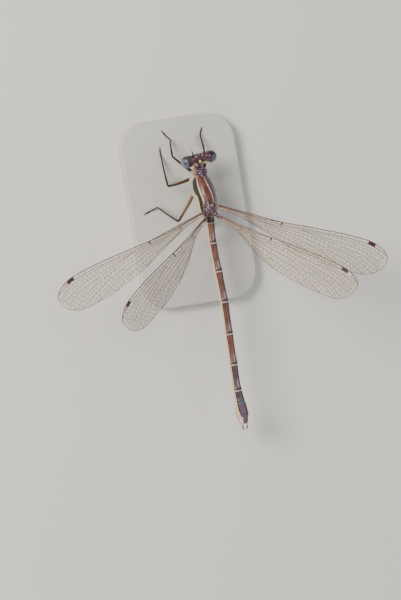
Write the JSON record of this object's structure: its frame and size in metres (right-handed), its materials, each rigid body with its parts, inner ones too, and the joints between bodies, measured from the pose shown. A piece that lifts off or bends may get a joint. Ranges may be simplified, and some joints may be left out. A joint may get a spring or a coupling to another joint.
{
  "type": "damselfly",
  "caption": "Life-size still model of a perched spreadwing damselfly with half-open veined wings and a long ringed abdomen, on a small flat display base.",
  "frame": {"origin": "middle of the model's bounding box, at the underside of the display base", "axes": "head towards -Y, back towards +Z, the insect's own left towards +X"},
  "size_m": [0.0478, 0.0458, 0.0201],
  "materials": {
    "head_cuticle": "dark purplish brown chitin, satin",
    "eyes": "blue-grey faceted eye, dark above, glossy",
    "pale_cuticle": "pale cream chitin, satin",
    "thorax_cuticle": "coppery brown chitin with cream and dark green bands, satin with a slight metallic sheen",
    "wing_membrane": "clear membrane with a slight amber tint, brown veins and a dark and white mark near the tip, glossy",
    "abdomen_cuticle": "red-brown chitin with dark edges and whitish rings, satin",
    "abdomen_tip_cuticle": "purplish grey chitin, satin",
    "leg_cuticle": "dark brown chitin, tan on the inner faces, satin",
    "stand_paint": "pale painted plate, satin"
  },
  "bodies": {
    "root": {"head": "head_cuticle", "eye_left": "eyes", "eye_right": "eyes", "antenna_left": "leg_cuticle", "antenna_right": "leg_cuticle", "mouthparts": "pale_cuticle", "prothorax": "thorax_cuticle", "pterothorax": "thorax_cuticle", "wing_fore_left": "wing_membrane", "wing_fore_right": "wing_membrane", "wing_hind_left": "wing_membrane", "wing_hind_right": "wing_membrane", "abdomen_s1": "abdomen_cuticle", "abdomen_s2": "abdomen_cuticle", "abdomen_s3": "abdomen_cuticle", "abdomen_s4": "abdomen_cuticle", "abdomen_s5": "abdomen_cuticle", "abdomen_s6": "abdomen_cuticle", "abdomen_s7": "abdomen_cuticle", "abdomen_s8": "abdomen_tip_cuticle", "abdomen_s9": "abdomen_tip_cuticle", "abdomen_s10": "abdomen_tip_cuticle", "cercus_left": "pale_cuticle", "cercus_right": "pale_cuticle", "ovipositor": "pale_cuticle", "leg_fore_left_femur": "leg_cuticle", "leg_fore_left_tibia": "leg_cuticle", "leg_fore_left_tarsus": "leg_cuticle", "leg_fore_right_femur": "leg_cuticle", "leg_fore_right_tibia": "leg_cuticle", "leg_fore_right_tarsus": "leg_cuticle", "leg_mid_left_femur": "leg_cuticle", "leg_mid_left_tibia": "leg_cuticle", "leg_mid_left_tarsus": "leg_cuticle", "leg_mid_right_femur": "leg_cuticle", "leg_mid_right_tibia": "leg_cuticle", "leg_mid_right_tarsus": "leg_cuticle", "leg_hind_left_femur": "leg_cuticle", "leg_hind_left_tibia": "leg_cuticle", "leg_hind_left_tarsus": "leg_cuticle", "leg_hind_right_femur": "leg_cuticle", "leg_hind_right_tibia": "leg_cuticle", "leg_hind_right_tarsus": "leg_cuticle", "stand_base": "stand_paint"}
  },
  "joints": []
}
